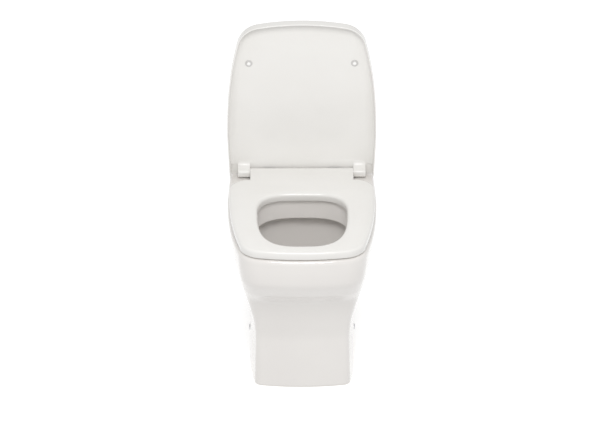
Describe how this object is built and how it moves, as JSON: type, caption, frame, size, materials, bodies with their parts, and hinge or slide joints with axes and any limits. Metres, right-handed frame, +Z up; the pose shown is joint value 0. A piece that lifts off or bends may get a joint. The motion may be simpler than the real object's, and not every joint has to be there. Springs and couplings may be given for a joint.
{
  "type": "toilet",
  "caption": "Back-to-wall toilet with a waisted, fully skirted ceramic pan, D-shaped soft-close seat, wrap-over lid and quick-release hinges.",
  "frame": {"origin": "on the floor, on the centre plane, midway between the rim's foremost point and the wall face", "axes": "+Z up, +Y towards the wall behind the pan, +X to the right of a person who faces the toilet"},
  "size_m": [0.36, 0.53, 0.8185],
  "materials": {
    "ceramic": "gloss glaze",
    "seat_plastic": "gloss",
    "grey_plastic": "fine matte",
    "buffer_rubber": "satin",
    "black_rubber": "matte",
    "steel": "satin"
  },
  "bodies": {
    "pan_body": {"pan": "ceramic", "inlet_seal": "black_rubber", "seat_stud_left": "steel", "seat_stud_right": "steel", "stud_bush_left": "black_rubber", "stud_bush_right": "black_rubber", "stud_washer_left": "steel", "stud_washer_right": "steel", "wing_nut_left": "seat_plastic", "wing_nut_right": "seat_plastic", "floor_bracket_left": "grey_plastic", "floor_bracket_right": "grey_plastic", "side_screw_left": "steel", "side_screw_right": "steel", "side_cap_left": "steel", "side_cap_right": "steel"},
    "hinge_carrier": {"hinge_block_left": "grey_plastic", "hinge_block_right": "grey_plastic", "hinge_pin_left": "steel", "hinge_pin_right": "steel"},
    "seat_body": {"seat": "seat_plastic", "seat_buffer_front_left": "buffer_rubber", "seat_buffer_front_right": "buffer_rubber", "seat_buffer_rear_left": "buffer_rubber", "seat_buffer_rear_right": "buffer_rubber", "seat_damper_left": "grey_plastic", "seat_damper_right": "grey_plastic"},
    "lid_body": {"lid": "seat_plastic", "lid_buffer_left": "buffer_rubber", "lid_buffer_right": "buffer_rubber", "lid_damper_left": "grey_plastic", "lid_damper_right": "grey_plastic"},
    "left_button": {"release_button_left": "steel"},
    "right_button": {"release_button_right": "steel"}
  },
  "joints": [
    {"name": "seat_lift_off", "type": "slide", "parent": "pan_body", "child": "hinge_carrier", "axis": [0, 0, 1], "range_m": [0, 0.04]},
    {"name": "seat_hinge", "type": "hinge", "parent": "hinge_carrier", "child": "seat_body", "pos_m": [0, 0.14, 0.4135], "axis": [-1, 0, 0], "range_deg": [0, 92]},
    {"name": "lid_hinge", "type": "hinge", "parent": "hinge_carrier", "child": "lid_body", "pos_m": [0, 0.14, 0.4135], "axis": [-1, 0, 0], "range_deg": [-93, 0]},
    {"name": "left_release_button", "type": "slide", "parent": "hinge_carrier", "child": "left_button", "axis": [0, 1, 0], "range_m": [0, 0.0025], "stiffness_N_per_m": 400},
    {"name": "right_release_button", "type": "slide", "parent": "hinge_carrier", "child": "right_button", "axis": [0, 1, 0], "range_m": [0, 0.0025], "stiffness_N_per_m": 400}
  ]
}
